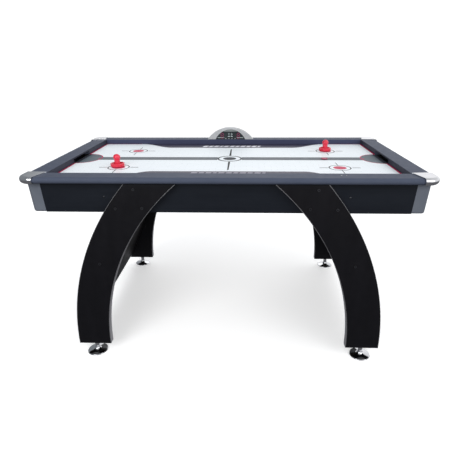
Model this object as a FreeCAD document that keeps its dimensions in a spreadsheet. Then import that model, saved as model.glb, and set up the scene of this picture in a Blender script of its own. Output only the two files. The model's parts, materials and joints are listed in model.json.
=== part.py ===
"""Air hockey table: cabinet, rails, arched legs, blower, scorer, goals, pushers and puck.

Millimetres. The origin is on the floor under the middle of the table, +X runs along the
table, -Y is the front side and +Z is up. Each sub-part is written to parts/<label>.step.
"""
import FreeCAD, Part
import math
import os
import re
import Sketcher

os.makedirs("parts", exist_ok=True)
doc = FreeCAD.newDocument("air_hockey_table")

# ---------------------------------------------------------------- driving dimensions

DIMENSIONS = [
    ("field_top", 746, "playing surface above the floor"),
    ("field_length", 1358, "playing surface between the end rails"),
    ("field_width", 712, "playing surface between the side rails"),
    ("field_thick", 9, "playing surface board"),
    ("field_tuck", 22, "playing surface board hidden under each rail"),
    ("rail_width", 78, "rail, across"),
    ("rail_height", 24, "rail above the playing surface"),
    ("rail_round", 11.8, "rounding of the outer rail edges"),
    ("rail_ease", 3, "rounding of the inner rail edge"),
    ("rail_clip", 42, "rail tip cut off under each corner cap"),
    ("rail_spare", 5, "cutting room beyond a rail"),
    ("cap_wall", 6, "corner cap beyond the rail side"),
    ("cap_top", 3, "corner cap above the rail"),
    ("cap_skirt", 1, "corner cap below the rail"),
    ("cap_side", 62, "corner cap along the side rail, outside"),
    ("cap_end", 91, "corner cap along the end rail, outside"),
    ("cap_inner_x", 82, "corner cap inner point from the outer corner, along the table"),
    ("cap_inner_y", 85, "corner cap inner point from the outer corner, across the table"),
    ("cap_corner", 50, "corner cap plan rounding"),
    ("cap_nose", 13, "corner cap rounding above and below"),
    ("cap_spare", 5, "cutting room beyond the corner cap"),
    ("board", 15, "cabinet board thickness"),
    ("apron_x", 739.5, "outer face of the end boards from the middle, at their top"),
    ("end_lean", 8, "end boards set in at their foot"),
    ("apron_y", 401, "outer face of the side boards from the middle"),
    ("apron_bottom", 629, "cabinet underside above the floor"),
    ("post_width", 50, "corner board, along each side"),
    ("post_proud", 1.5, "corner board beyond the side boards"),
    ("post_round", 14, "corner board upright rounding"),
    ("post_foot_round", 9, "corner board foot rounding"),
    ("block_long", 60, "glue block"),
    ("block_high", 30, "glue block"),
    ("block_rise", 18, "glue block middle above the chamber floor"),
    ("block_pitch", 270, "glue block spacing along the table"),
    ("block_side", 250, "end glue block from the middle"),
    ("goal_width", 190, "goal mouth"),
    ("goal_height", 17, "goal mouth"),
    ("goal_depth", 62, "goal passage under the end rail"),
    ("goal_lead", 3, "board left in front of the goal drop"),
    ("tray_wall", 4, "goal tray wall"),
    ("tray_length", 52, "goal tray along the table"),
    ("tray_width", 200, "goal tray across the table"),
    ("tray_bottom", 645, "goal tray underside above the floor"),
    ("return_width", 160, "puck return hole"),
    ("return_low", 656, "puck return hole, lower edge"),
    ("return_high", 714, "puck return hole, upper edge"),
    ("chamber_half", 660, "air chamber half length"),
    ("chamber_height", 40, "air chamber"),
    ("chamber_bar", 18, "air chamber side bar"),
    ("chamber_floor", 6, "air chamber bottom board"),
    ("rib_pitch", 220, "air chamber rib spacing"),
    ("rib_thick", 12, "air chamber rib"),
    ("rib_gap", 60, "air passage at each rib end"),
    ("arch_x", 412, "leg arc centre beyond the middle, on the other side"),
    ("arch_z", 60, "leg arc centre above the floor"),
    ("arch_inner", 906, "leg inner arc radius"),
    ("arch_outer", 1041, "leg outer arc radius"),
    ("arch_middle", 400, "middle of the slab that the leg arcs lie in"),
    ("arch_reach", 600, "length of the slab that the leg arcs lie in"),
    ("leg_bottom", 45, "leg underside above the floor"),
    ("leg_thick", 30, "leg slab"),
    ("trim_width", 2, "bright leg edge strip"),
    ("trim_thick", 0.8, "bright leg edge strip"),
    ("panel_x", 505, "end panel middle from the table middle"),
    ("panel_z", 348, "end panel middle above the floor"),
    ("panel_long", 588, "end panel slope length"),
    ("panel_lean", 23, "end panel lean in degrees"),
    ("foot_x", 561, "leveller from the middle"),
    ("foot_radius", 42, "leveller disc"),
    ("foot_rim", 4, "leveller disc rim height"),
    ("foot_edge", 1.5, "leveller disc lower edge cut"),
    ("foot_round", 2.4, "leveller disc upper edge rounding"),
    ("foot_dome", 13, "leveller dome top above the floor"),
    ("foot_waist", 9, "leveller neck radius"),
    ("foot_flow", 11, "leveller rounding between dome and neck"),
    ("foot_collar", 40, "leveller collar top above the floor"),
    ("stem_radius", 4, "leveller stem"),
    ("stem_top", 80, "leveller stem top above the floor"),
    ("stem_tip", 1, "leveller stem top edge cut"),
    ("insert_radius", 7, "leveller insert outside"),
    ("insert_depth", 42, "leveller insert length"),
    ("running_gap", 0.05, "radial clearance of a running fit"),
    ("bolt_radius", 3, "leg bolt shank"),
    ("bolt_hole", 3.3, "leg bolt hole"),
    ("bolt_head", 5.5, "leg bolt head radius"),
    ("bolt_cap", 2.6, "leg bolt head height"),
    ("bolt_past", 6, "leg bolt end beyond the cabinet board"),
    ("bolt_low", 22, "low leg bolt shank, inside the leg"),
    ("bolt_1_x", 334, "top leg bolt from the middle"),
    ("bolt_1_z", 727, "top leg bolt above the floor"),
    ("bolt_2_x", 407, "outer leg bolt from the middle"),
    ("bolt_2_z", 653, "outer leg bolt above the floor"),
    ("bolt_3_x", 308, "inner leg bolt from the middle"),
    ("bolt_3_z", 655, "inner leg bolt above the floor"),
    ("bolt_4_x", 495, "low leg bolt from the middle"),
    ("bolt_4_z", 424, "low leg bolt above the floor"),
    ("score_x", -10, "scorer from the middle, along the table"),
    ("score_front", 365, "scorer front face from the middle"),
    ("score_depth", 34, "scorer front to back"),
    ("score_half", 121, "scorer half width at its foot"),
    ("score_high", 61, "scorer above the rail"),
    ("window_half", 79, "scorer window half width"),
    ("window_high", 51.5, "scorer window above the rail"),
    ("window_set", 3, "scorer window behind the front face"),
    ("window_thick", 4, "scorer window plate"),
    ("score_back", 4, "scorer back plate"),
    ("circuit_set", 9, "scorer circuit board behind the window"),
    ("circuit_long", 110, "scorer circuit board"),
    ("circuit_high", 24, "scorer circuit board"),
    ("circuit_thick", 1.6, "scorer circuit board"),
    ("circuit_rise", 14, "scorer circuit board middle above the rail"),
    ("button_radius", 2.4, "scorer button"),
    ("button_pitch", 16.4, "scorer button spacing"),
    ("button_rise", 3.6, "scorer button above the rail"),
    ("button_gap", 0.35, "scorer button clearance"),
    ("button_proud", 1.5, "scorer button before the window"),
    ("button_flange", 0.9, "scorer button flange beyond the button"),
    ("button_flange_thick", 1.5, "scorer button flange"),
    ("button_flange_gap", 0.3, "scorer button flange behind the window"),
    ("button_tail", 4, "scorer button behind the window"),
    ("control_x", 418, "start button from the middle"),
    ("control_y", 390, "start button towards the front"),
    ("control_radius", 3, "start button"),
    ("control_long", 12, "start button"),
    ("control_proud", 1.5, "start button above the rail"),
    ("lamp_offset", 18, "power lamp beyond the start button"),
    ("lamp_radius", 2, "power lamp"),
    ("lamp_proud", 1, "power lamp above the rail"),
    ("blower_radius", 88, "blower case"),
    ("blower_height", 56, "blower case"),
    ("blower_wall", 4, "blower case wall"),
    ("outlet_radius", 28, "blower outlet"),
    ("outlet_x", 52, "blower outlet from the shaft"),
    ("guard_thick", 3, "blower guard"),
    ("guard_hole", 15.84, "blower guard hole radius"),
    ("guard_ring", 52.8, "blower guard holes from the shaft"),
    ("wheel_radius", 76, "blower wheel"),
    ("wheel_lift", 4, "blower wheel above the guard"),
    ("wheel_high", 38, "blower wheel"),
    ("wheel_plate", 2, "blower wheel disc and ring"),
    ("wheel_blade", 14, "blower blade, radial"),
    ("blade_thick", 1.6, "blower blade"),
    ("blade_root", 0.5, "blower blade into each disc"),
    ("hub_radius", 10, "blower wheel hub"),
    ("hub_high", 6, "blower wheel hub"),
    ("motor_radius", 22, "blower motor"),
    ("motor_height", 30, "blower motor"),
    ("motor_cap", 5, "blower motor above its shaft bore"),
    ("shaft_radius", 3, "blower shaft"),
    ("shaft_long", 32, "blower shaft"),
    ("pusher_radius", 29, "pusher base"),
    ("pusher_rim", 12.5, "pusher base height"),
    ("pusher_well", 6.5, "pusher base floor above its underside"),
    ("pusher_lip", 5, "pusher base rim, radial"),
    ("pusher_slope", 2, "pusher base rim, inner slope"),
    ("pusher_edge", 1, "pusher base lower edge rounding"),
    ("pusher_round", 2, "pusher base upper edge roundings"),
    ("pusher_groove", 0.9, "pusher base groove depth"),
    ("groove_low", 5, "pusher groove, lower edge"),
    ("groove_high", 7.5, "pusher groove, upper edge"),
    ("groove_side", 0.6, "pusher groove, height of each slope"),
    ("pusher_height", 50.5, "pusher to the knob top"),
    ("pusher_knob", 14.8, "pusher knob radius"),
    ("pusher_dome", 13.7, "pusher knob top rounding"),
    ("pusher_taper", 8, "pusher slope from knob to neck"),
    ("pusher_neck", 12, "pusher neck radius"),
    ("pad_radius", 27, "pusher felt pad"),
    ("pad_thick", 1.2, "pusher felt pad"),
    ("float_gap", 0.3, "loose pieces above the playing surface"),
    ("puck_radius", 14, "puck"),
    ("puck_thick", 4, "puck"),
    ("puck_edge", 0.8, "puck edge cut"),
    ("puck_rim", 4, "puck rim, radial"),
    ("puck_dish", 0.6, "puck top inside the rim"),
    ("puck_x", 426, "puck from the middle"),
    ("puck_y", -5, "puck from the middle"),
    ("pusher_left_x", -470, "left pusher"),
    ("pusher_left_y", -152, "left pusher"),
    ("pusher_right_x", 462, "right pusher"),
    ("pusher_right_y", 190, "right pusher"),
    ("inlet_x", 60, "power inlet from the middle"),
    ("inlet_z", 684, "power inlet above the floor"),
    ("inlet_hole_long", 46, "power inlet hole in the back board"),
    ("inlet_hole_high", 24, "power inlet hole in the back board"),
    ("inlet_plate_long", 54, "power inlet plate"),
    ("inlet_plate_high", 32, "power inlet plate"),
    ("inlet_plate_thick", 3, "power inlet plate"),
    ("inlet_fit", 0.5, "power inlet case inside its hole, each side"),
    ("inlet_deep", 20, "power inlet case"),
    ("inlet_well_deep", 14, "power inlet wells below the board face"),
    ("socket_offset", -9, "power socket from the inlet middle"),
    ("socket_long", 22, "power socket"),
    ("socket_high", 16, "power socket"),
    ("pin_pitch", 6, "power pins"),
    ("pin_wide", 1.6, "power pins"),
    ("pin_high", 4, "power pins"),
    ("rocker_offset", 13, "power rocker from the inlet middle"),
    ("rocker_long", 11, "power rocker"),
    ("rocker_high", 16, "power rocker"),
    ("rocker_deep", 10, "power rocker"),
    ("rocker_proud", 4, "power rocker beyond the board face"),
    ("rocker_side_gap", 0.5, "power rocker well, each side"),
    ("rocker_end_gap", 1.5, "power rocker well, above and below"),
    ("over_cut", 2, "cutting room on each side of a board"),
]

sheet = doc.addObject("Spreadsheet::Sheet", "dims")
for row, (alias, number, meaning) in enumerate(DIMENSIONS, start=1):
    sheet.set(f"A{row}", meaning)
    sheet.set(f"B{row}", str(number))
    sheet.setAlias(f"B{row}", alias)
doc.recompute()

ALIASES = re.compile(r"\b(" + "|".join(alias for alias, _, _ in DIMENSIONS) + r")\b")
HALF_LENGTH = "(field_length / 2 + rail_width)"
HALF_WIDTH = "(field_width / 2 + rail_width)"
RAIL_TOP = "(field_top + rail_height)"
CHAMBER_TOP = "(field_top - field_thick)"
CHAMBER_FLOOR = "(field_top - field_thick - chamber_height)"
FLOOR_UNDERSIDE = "(field_top - field_thick - chamber_height - chamber_floor)"
CHAMBER_SIDE = "(field_width / 2 + field_tuck)"
LEG_MIDDLE = "(apron_y + leg_thick / 2)"
LEG_FACE = "(apron_y + leg_thick)"
FRONT, BACK = -1, 1
LEFT, RIGHT = -1, 1
SIDES = {"front": FRONT, "back": BACK}
ENDS = {"left": LEFT, "right": RIGHT}
CORNERS = [(side, end) for side in SIDES for end in ENDS]
ZERO = FreeCAD.Vector(0, 0, 0)
AXIS_TURN = {
    "X": FreeCAD.Rotation(FreeCAD.Vector(0, 1, 0), 90),
    "Y": FreeCAD.Rotation(FreeCAD.Vector(1, 0, 0), -90),
    "Z": FreeCAD.Rotation(),
}
HALF_TURN = FreeCAD.Placement(ZERO, FreeCAD.Rotation(FreeCAD.Vector(0, 0, 1), 180))
parts = []


def bound(text):
    """The text as an expression that reads its sizes from the sheet."""
    return ALIASES.sub(r"dims.\1", str(text))


def size(alias):
    return float(getattr(sheet, alias))


def bind(thing, **sizes):
    for name, text in sizes.items():
        thing.setExpression(name, bound(text))
    return thing


def place(thing, centre):
    for axis, text in zip("xyz", centre):
        thing.setExpression(f"Placement.Base.{axis}", bound(text))
    return thing


def part(thing, label):
    """Keep the finished object as a sub-part under this label."""
    thing.Label = label
    parts.append(thing)
    return thing


# ---------------------------------------------------------------- primitives and booleans

def block(name, centre, sizes):
    """A box given by its middle and its sizes along X, Y and Z."""
    thing = doc.addObject("Part::Box", name)
    bind(thing, Length=sizes[0], Width=sizes[1], Height=sizes[2])
    return place(thing, [f"{middle} - ({width}) / 2" for middle, width in zip(centre, sizes)])


def rod(name, centre, radius, length, axis="Z"):
    """A cylinder given by the middle of its first face; it runs towards + of its axis."""
    thing = doc.addObject("Part::Cylinder", name)
    thing.Placement = FreeCAD.Placement(ZERO, AXIS_TURN[axis])
    bind(thing, Radius=radius, Height=length)
    return place(thing, centre)


def cut(name, base, tools):
    thing = doc.addObject("Part::Cut", name)
    thing.Base = base
    thing.Tool = tools[0] if len(tools) == 1 else fuse(name + "_tools", tools)
    return thing


def fuse(name, shapes):
    thing = doc.addObject("Part::MultiFuse", name)
    thing.Shapes = shapes
    return thing


def common(name, shapes):
    thing = doc.addObject("Part::MultiCommon", name)
    thing.Shapes = shapes
    return thing


def group(name, shapes):
    """Separate solids that share one sub-part."""
    thing = doc.addObject("Part::Compound", name)
    thing.Links = shapes
    return thing


# ---------------------------------------------------------------- sketches and features

def new_body(name):
    return doc.addObject("PartDesign::Body", name)


def new_sketch(body, name, role):
    sketch = body.newObject("Sketcher::SketchObject", name)
    plane = next(item for item in body.Origin.OriginFeatures if item.Role == role)
    sketch.AttachmentSupport = [(plane, "")]
    sketch.MapMode = "FlatFace"
    return sketch


def fix_point(sketch, line, end, point):
    """Tie one end of a line to two expressions, measured from the sketch origin."""
    for kind, text in zip(("DistanceX", "DistanceY"), point):
        index = sketch.addConstraint(Sketcher.Constraint(kind, -1, 1, line, end, 1.0))
        sketch.setExpression(f"Constraints[{index}]", bound(text))


def measure(text):
    """The present value of an expression."""
    return float(sheet.evalExpression(bound(text).replace("dims.", "")))


def outline(sketch, points):
    """A closed run of straight lines through points given as expression pairs."""
    values = [FreeCAD.Vector(measure(x), measure(y), 0) for x, y in points]
    first = sketch.GeometryCount
    for here, there in zip(values, values[1:] + values[:1]):
        sketch.addGeometry(Part.LineSegment(here, there), False)
    for step, point in enumerate(points):
        following = first + (step + 1) % len(points)
        sketch.addConstraint(Sketcher.Constraint("Coincident", first + step, 2, following, 1))
        fix_point(sketch, first + step, 1, point)


def rectangle(sketch, low, high):
    outline(sketch, [low, (high[0], low[1]), high, (low[0], high[1])])


def circle(sketch, centre, radius):
    middle = FreeCAD.Vector(measure(centre[0]), measure(centre[1]), 0)
    index = sketch.addGeometry(Part.Circle(middle, FreeCAD.Vector(0, 0, 1), measure(radius)), False)
    fix_point(sketch, index, 3, centre)
    rule = sketch.addConstraint(Sketcher.Constraint("Radius", index, measure(radius)))
    sketch.setExpression(f"Constraints[{rule}]", bound(radius))


def pad(body, sketch, length, middle=False, backwards=False):
    feature = body.newObject("PartDesign::Pad", sketch.Name + "_pad")
    feature.Profile = sketch
    feature.Midplane = middle
    feature.Reversed = backwards
    bind(feature, Length=length)
    doc.recompute()
    return feature


def pocket(body, sketch, depth=None, backwards=False):
    """Cut the profile out: through everything both ways, or to a depth one way."""
    before = body.Shape.Volume
    feature = body.newObject("PartDesign::Pocket", sketch.Name + "_pocket")
    feature.Profile = sketch
    if depth is None:
        feature.Type = "ThroughAll"
        feature.Midplane = True
    else:
        feature.Reversed = backwards
        bind(feature, Length=depth)
    doc.recompute()
    if body.Shape.Volume >= before - 1:
        raise RuntimeError(f"{feature.Name} removes nothing")
    return feature


def fillet(body, radius, wanted):
    """Round every edge of the body whose middle and direction pass the test."""
    doc.recompute()
    base = body.Tip
    names = []
    for index, edge in enumerate(base.Shape.Edges, start=1):
        middle = edge.valueAt((edge.FirstParameter + edge.LastParameter) / 2)
        if wanted(edge, middle):
            names.append(f"Edge{index}")
    if not names:
        raise RuntimeError(f"no edge to round on {body.Name}")
    feature = body.newObject("PartDesign::Fillet", body.Name + "_round")
    feature.Base = (base, names)
    bind(feature, Radius=radius)
    doc.recompute()
    return feature


def revolve(name, points):
    """A body turned about the Z axis from a half profile in the XZ plane."""
    body = new_body(name)
    sketch = new_sketch(body, name + "_profile", "XZ_Plane")
    outline(sketch, points)
    feature = body.newObject("PartDesign::Revolution", name + "_turned")
    feature.Profile = sketch
    feature.ReferenceAxis = (sketch, ["V_Axis"])
    feature.Angle = 360
    return body


def near(value, target, slack=0.2):
    return abs(value - target) < slack


def ring_edges(radius, height):
    """A test for the round edge of a turned body at this radius and height."""
    wanted_radius, wanted_height = measure(radius), measure(height)

    def test(edge, middle):
        return (near(math.hypot(middle.x, middle.y), wanted_radius, 0.05)
                and near(middle.z, wanted_height, 0.05))

    return test


# ---------------------------------------------------------------- playing surface and air chamber

def make_playfield():
    body = new_body("playfield_body")
    half_x = "(field_length / 2 + field_tuck)"
    half_y = "(field_width / 2 + field_tuck)"
    sketch = new_sketch(body, "playfield_plan", "XY_Plane")
    rectangle(sketch, (f"-{half_x}", f"-{half_y}"), (half_x, half_y))
    pad(body, sketch, "field_thick")
    notch = new_sketch(body, "playfield_goals", "XY_Plane")
    drop = "(field_length / 2 + goal_lead)"
    rectangle(notch, (drop, "-goal_width / 2"), (f"{half_x} + over_cut", "goal_width / 2"))
    rectangle(notch, (f"-{half_x} - over_cut", "-goal_width / 2"), (f"-{drop}", "goal_width / 2"))
    pocket(body, notch)
    place(body, ("0", "0", "field_top - field_thick"))
    part(body, "playfield")


def make_chamber():
    middle_z = f"{CHAMBER_FLOOR} + chamber_height / 2"
    long_bars, end_bars, ribs = [], [], []
    for side, sign in SIDES.items():
        centre = ("0", f"{sign} * ({CHAMBER_SIDE} - chamber_bar / 2)", middle_z)
        sizes = ("2 * chamber_half", "chamber_bar", "chamber_height")
        long_bars.append(block(f"chamber_{side}", centre, sizes))
    for end, sign in ENDS.items():
        centre = (f"{sign} * (chamber_half - chamber_bar / 2)", "0", middle_z)
        sizes = ("chamber_bar", f"2 * ({CHAMBER_SIDE} - chamber_bar)", "chamber_height")
        end_bars.append(block(f"chamber_{end}", centre, sizes))
    part(group("long_bars", long_bars), "chamber_side_bars")
    part(group("end_bars", end_bars), "chamber_end_bars")
    for place_in_row in (-2, -1, 1, 2):
        centre = (f"{place_in_row} * rib_pitch", "0", middle_z)
        across = f"2 * ({CHAMBER_SIDE} - chamber_bar - rib_gap)"
        name = f"rib_{place_in_row + 3}"
        ribs.append(block(name, centre, ("rib_thick", across, "chamber_height")))
    part(group("ribs", ribs), "chamber_ribs")
    board = block("chamber_board", ("0", "0", f"{CHAMBER_FLOOR} - chamber_floor / 2"),
                  ("2 * chamber_half", f"2 * {CHAMBER_SIDE}", "chamber_floor"))
    hole = rod("chamber_outlet", ("outlet_x", "0", f"{FLOOR_UNDERSIDE} - over_cut"),
               "outlet_radius", "chamber_floor + 2 * over_cut")
    part(cut("chamber_panel", board, [hole]), "chamber_bottom")


def make_glue_blocks():
    """Blocks that join the chamber to the cabinet boards."""
    blocks = []
    gap = f"(apron_y - board - {CHAMBER_SIDE})"
    for side, sign in SIDES.items():
        for step in (-2, -1, 0, 1, 2):
            centre = (f"{step} * block_pitch", f"{sign} * ({CHAMBER_SIDE} + {gap} / 2)",
                      f"{CHAMBER_FLOOR} + block_rise")
            blocks.append(block(f"block_{side}_{step + 3}", centre, ("block_long", gap, "block_high")))
    reach = "(apron_x - board - end_lean / 2 - chamber_half)"
    for end, sign in ENDS.items():
        for side, across in SIDES.items():
            centre = (f"{sign} * (chamber_half + {reach} / 2)", f"{across} * block_side",
                      f"{CHAMBER_FLOOR} + block_rise")
            blocks.append(block(f"block_{end}_{side}", centre, (reach, "block_long", "block_high")))
    part(group("blocks", blocks), "glue_blocks")


# ---------------------------------------------------------------- cabinet boards

BOLT_SPOTS = [(f"bolt_{index}_x", f"bolt_{index}_z") for index in (1, 2, 3)]
LOW_BOLT = ("bolt_4_x", "bolt_4_z")


def leg_bolt_spots(low_too):
    return BOLT_SPOTS + ([LOW_BOLT] if low_too else [])


def bolt_holes(name, sign, middle, depth, low_too):
    """Holes along Y for the leg bolts on one long side, given the middle of the board."""
    holes = []
    for end, along in ENDS.items():
        for index, (x, z) in enumerate(leg_bolt_spots(low_too)):
            start = (f"{along} * {x}", f"{sign} * {middle} - {depth} / 2", z)
            holes.append(rod(f"{name}_{end}_{index}", start, "bolt_hole", depth, "Y"))
    return holes


def make_side_aprons():
    """Side boards, cut to the slope of the ends."""
    top_half = "(apron_x + post_proud - post_width)"
    foot_half = f"({top_half} - end_lean)"
    for side, sign in SIDES.items():
        body = new_body(f"{side}_board")
        sketch = new_sketch(body, f"{side}_board_face", "XZ_Plane")
        outline(sketch, [(f"-{foot_half}", "apron_bottom"), (foot_half, "apron_bottom"),
                         (top_half, "field_top"), (f"-{top_half}", "field_top")])
        pad(body, sketch, "board", middle=True)
        place(body, ("0", f"{sign} * (apron_y - board / 2)", "0"))
        tools = bolt_holes(f"{side}_apron_hole", sign, "(apron_y - board / 2)",
                           "(board + 2 * over_cut)", False)
        if side == "back":
            tools.append(block("inlet_cutout", ("inlet_x", "apron_y - board / 2", "inlet_z"),
                               ("inlet_hole_long", "board + 2 * over_cut", "inlet_hole_high")))
        part(cut(f"{side}_apron_cut", body, tools), f"{side}_apron")


def make_end_aprons():
    """End boards, leaning out to their top, each with a puck return hole."""
    wide = "2 * (apron_y + post_proud - post_width)"
    high = "(return_high - return_low)"
    for end, sign in ENDS.items():
        body = new_body(f"{end}_board")
        sketch = new_sketch(body, f"{end}_board_edge", "XZ_Plane")
        outline(sketch, [(f"{sign} * (apron_x - end_lean - board)", "apron_bottom"),
                         (f"{sign} * (apron_x - end_lean)", "apron_bottom"),
                         (f"{sign} * apron_x", "field_top"),
                         (f"{sign} * (apron_x - board)", "field_top")])
        pad(body, sketch, wide, middle=True)
        hole = block(f"{end}_return",
                     (f"{sign} * (apron_x - board / 2)", "0", f"return_low + {high} / 2"),
                     ("board + 2 * (end_lean + over_cut)", "return_width", high))
        part(cut(f"{end}_apron_cut", body, [hole]), f"{end}_apron")


def make_corner_apron(side, end):
    """Angled corner board that leans with the end board, with rounded edge and foot."""
    along = ENDS[end] * SIDES[side]
    body = new_body(f"corner_board_{side}_{end}")
    foot_x = "(apron_x + post_proud - end_lean)"
    outer_y = "(apron_y + post_proud)"
    wall = "(board + post_proud)"
    tall = "(field_top - apron_bottom)"

    def spot(from_corner_x, from_corner_y):
        """A plan point of the front corner, measured inwards from the outer corner."""
        return (f"{-along} * ({foot_x} - ({from_corner_x}))", f"-({outer_y} - ({from_corner_y}))")

    sketch = new_sketch(body, f"corner_plan_{side}_{end}", "XY_Plane")
    outline(sketch, [spot("0", "0"), spot("post_width", "0"), spot("post_width", wall),
                     spot(wall, wall), spot(wall, "post_width"), spot("0", "post_width")])
    column = pad(body, sketch, tall)
    column.UseCustomVector = True
    column.AlongSketchNormal = True
    column.Direction = FreeCAD.Vector(-along * size("end_lean"), 0, measure(tall))
    bind(column, **{"Direction.x": f"{-along} * end_lean", "Direction.z": tall})
    foot_edge = measure(foot_x)
    side_edge = measure(outer_y)
    width = size("post_width")
    fillet(body, "post_round", lambda edge, middle: edge.Length > width
           and near(abs(middle.x), foot_edge + size("end_lean") / 2, 1)
           and near(abs(middle.y), side_edge, 1))
    fillet(body, "post_foot_round", lambda edge, middle: near(middle.z, 0)
           and (near(abs(middle.x), foot_edge, 5.5) or near(abs(middle.y), side_edge, 5.5))
           and abs(middle.x) > foot_edge - width + 1 and abs(middle.y) > side_edge - width + 1)
    turn_body(body, side)
    body.setExpression("Placement.Base.z", bound("apron_bottom"))
    part(body, f"corner_apron_{side}_{end}")


def turn_body(body, side):
    """Bodies are drawn at the front; the back ones are turned half round."""
    if side in ("back", "right"):
        body.Placement = HALF_TURN


# ---------------------------------------------------------------- rails

def rail_profile(sketch, flip):
    """Section of a rail: inner face at the field edge, outer face at the far side."""
    edge = "field_width" if flip is None else "field_length"
    inner = f"-({edge} / 2)"
    outer = f"-({edge} / 2 + rail_width)"
    rectangle(sketch, (outer, "0"), (inner, "rail_height"))


def round_rail(body, axis, inner, outer):
    """Bullnose the two outer edges and ease the inner top edge."""
    reach = {"x": lambda point: abs(point.x), "y": lambda point: abs(point.y)}[axis]
    top = size("rail_height")
    fillet(body, "rail_round", lambda edge, middle: near(reach(middle), outer)
           and (near(middle.z, top) or near(middle.z, 0)) and edge.Length > 300)
    fillet(body, "rail_ease", lambda edge, middle: near(reach(middle), inner)
           and near(middle.z, top) and edge.Length > 300)


def mitre(body, name, along_x):
    """Cut both rail ends at 45 degrees and take the tip off under the corner cap."""
    sketch = new_sketch(body, name + "_mitre", "XY_Plane")
    if along_x:
        inner, outer = "(field_width / 2)", HALF_WIDTH
        tip = HALF_LENGTH
    else:
        inner, outer = "(field_length / 2)", HALF_LENGTH
        tip = HALF_WIDTH
    root = f"({tip} - rail_width)"
    for sign in (-1, 1):
        run = [(f"{sign} * {root}", f"-{inner}"),
               (f"{sign} * ({tip} - rail_clip / 2)", f"-({outer} - rail_clip / 2)"),
               (f"{sign} * ({tip} - rail_clip - rail_spare)", f"-{outer} - rail_spare"),
               (f"{sign} * ({tip} + rail_spare)", f"-{outer} - rail_spare"),
               (f"{sign} * ({tip} + rail_spare)", f"-{inner} + rail_spare"),
               (f"{sign} * {root}", f"-{inner} + rail_spare")]
        if not along_x:
            run = [(y, x) for x, y in run]
        outline(sketch, run)
    pocket(body, sketch)


def make_side_rail(side):
    body = new_body(f"{side}_rail_body")
    section = new_sketch(body, f"{side}_rail_section", "YZ_Plane")
    rail_profile(section, None)
    pad(body, section, f"2 * {HALF_LENGTH}", middle=True)
    half = size("field_width") / 2
    round_rail(body, "y", half, half + size("rail_width"))
    mitre(body, f"{side}_rail", True)
    if side == "front":
        holes = new_sketch(body, "control_holes", "XY_Plane")
        circle(holes, ("control_x", "-control_y"), "control_radius + button_gap")
        circle(holes, ("control_x + lamp_offset", "-control_y"), "lamp_radius")
        pocket(body, holes)
    turn_body(body, side)
    body.setExpression("Placement.Base.z", bound("field_top"))
    part(body, f"{side}_rail")


def make_end_rail(end):
    body = new_body(f"{end}_rail_body")
    section = new_sketch(body, f"{end}_rail_section", "XZ_Plane")
    rail_profile(section, "length")
    pad(body, section, f"2 * {HALF_WIDTH}", middle=True)
    half = size("field_length") / 2
    round_rail(body, "x", half, half + size("rail_width"))
    mitre(body, f"{end}_rail", False)
    mouth = new_sketch(body, f"{end}_goal_mouth", "XY_Plane")
    rectangle(mouth, ("-(field_length / 2 + goal_depth)", "-goal_width / 2"),
              ("-(field_length / 2 - rail_spare)", "goal_width / 2"))
    pocket(body, mouth, "goal_height", backwards=True)
    turn_body(body, end)
    body.setExpression("Placement.Base.z", bound("field_top"))
    part(body, f"{end}_rail")


def make_corner_cap(side, end):
    """Bright cap over one rail corner, hollow underneath for the two rails."""
    along = ENDS[end] * SIDES[side]
    body = new_body(f"cap_{side}_{end}")
    outer_x = f"({HALF_LENGTH} + cap_wall)"
    outer_y = f"({HALF_WIDTH} + cap_wall)"

    def spot(from_corner_x, from_corner_y):
        return (f"{-along} * ({outer_x} - ({from_corner_x}))", f"-({outer_y} - ({from_corner_y}))")

    plan = new_sketch(body, f"cap_plan_{side}_{end}", "XY_Plane")
    outline(plan, [spot("0", "0"), spot("cap_side", "0"), spot("cap_inner_x", "cap_inner_y"),
                   spot("0", "cap_end")])
    pad(body, plan, "(cap_skirt + rail_height + cap_top)")
    edge_x = measure(outer_x)
    edge_y = measure(outer_y)
    top = measure("cap_skirt + rail_height + cap_top")
    fillet(body, "cap_corner",
           lambda edge, middle: near(abs(middle.x), edge_x) and near(abs(middle.y), edge_y))
    arc_dip = size("cap_corner") * (1 - math.sqrt(0.5))

    def on_outside(edge, middle):
        """Straight edges of the two outer faces and the arc between them."""
        straight = near(abs(middle.x), edge_x) or near(abs(middle.y), edge_y)
        arc = (near(abs(middle.x), edge_x - arc_dip, 1) and near(abs(middle.y), edge_y - arc_dip, 1))
        return (straight or arc) and (near(middle.z, top) or near(middle.z, 0))

    fillet(body, "cap_nose", on_outside)
    hollow = new_sketch(body, f"cap_hollow_{side}_{end}", "XY_Plane")
    outline(hollow, [spot("cap_wall + rail_clip", "cap_wall"),
                     spot("cap_end + cap_spare", "cap_wall"),
                     spot("cap_end + cap_spare", "cap_end + cap_spare"),
                     spot("cap_wall", "cap_end + cap_spare"),
                     spot("cap_wall", "cap_wall + rail_clip")])
    pocket(body, hollow, "(cap_skirt + rail_height)", backwards=True)
    turn_body(body, side)
    body.setExpression("Placement.Base.z", bound("field_top - cap_skirt"))
    part(body, f"corner_cap_{side}_{end}")


# ---------------------------------------------------------------- goals

def make_goal_tray(end):
    sign = ENDS[end]
    high = "(field_top - field_thick - tray_bottom)"
    x = f"{sign} * (apron_x - board - end_lean - tray_length / 2)"
    shell = block(f"{end}_tray_shell", (x, "0", f"tray_bottom + {high} / 2"),
                  ("tray_length", "tray_width", high))
    inside = block(f"{end}_tray_inside",
                   (f"{sign} * (apron_x - board - end_lean - tray_length / 2 + tray_wall)", "0",
                    f"tray_bottom + tray_wall + {high} / 2"),
                   ("tray_length", "tray_width - 2 * tray_wall", high))
    part(cut(f"{end}_tray_cut", shell, [inside]), f"goal_tray_{end}")


# ---------------------------------------------------------------- legs

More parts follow.
